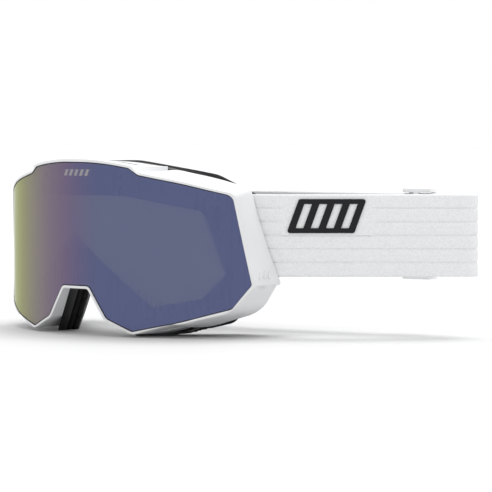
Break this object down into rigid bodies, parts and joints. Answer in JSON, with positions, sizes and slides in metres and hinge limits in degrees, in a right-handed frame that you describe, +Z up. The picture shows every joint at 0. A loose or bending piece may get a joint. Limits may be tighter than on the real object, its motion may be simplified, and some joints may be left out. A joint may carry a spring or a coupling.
{
  "type": "wide-lens goggles",
  "caption": "Goggles with one wide curved mirrored lens held by magnets, a moulded shell, layered face foam and a wide elastic strap with sliders, stored swung to one side.",
  "frame": {"origin": "on the table under the lens, on the goggles' middle plane, level with the flats that the cheeks stand on and 30 mm behind the foremost point of the lens", "axes": "+Z up, -Y the way the wearer looks, +X towards the wearer's left, which is the side that the strap is swung to"},
  "size_m": [0.252, 0.1268, 0.0869],
  "materials": {
    "shell": "white moulded plastic, satin",
    "carrier": "black soft plastic",
    "foam": "black open-cell foam",
    "fleece": "black brushed fleece",
    "magnet": "plated",
    "pin": "drawn",
    "strap": "white woven elastic with raised ribs",
    "badge": "black moulded rubber",
    "lens": "mirror coat over clear plastic, violet-blue, partly see-through",
    "inner_lens": "clear",
    "gasket": "black closed-cell foam tape",
    "slider": "white moulded plastic"
  },
  "bodies": {
    "goggles": {"frame_shell": "shell", "foam_carrier": "carrier", "foam_base": "foam", "foam_face": "foam", "foam_fleece": "fleece", "vent_foam_top": "foam", "vent_foam_cheeks": "foam", "frame_magnets": "magnet", "strap_pin_left": "pin", "strap_pin_right": "pin", "strap_left": "strap", "strap_right": "strap", "strap_rear": "strap", "strap_badge": "badge"},
    "lens": {"lens_outer": "lens", "lens_inner": "inner_lens", "lens_gasket": "gasket", "lens_magnets": "magnet"},
    "slider_a": {"slider_left": "slider"},
    "slider_b": {"slider_right": "slider"}
  },
  "joints": [
    {"name": "lens_pull", "type": "slide", "parent": "goggles", "child": "lens", "axis": [0, -1, 0], "range_m": [0, 0.035]},
    {"name": "slider_left_slide", "type": "slide", "parent": "goggles", "child": "slider_a", "axis": [-0.9857, -0.1685, 0], "range_m": [-0.012, 0.03]},
    {"name": "slider_right_slide", "type": "slide", "parent": "goggles", "child": "slider_b", "axis": [-0.9857, -0.1685, 0], "range_m": [-0.03, 0.03]}
  ]
}
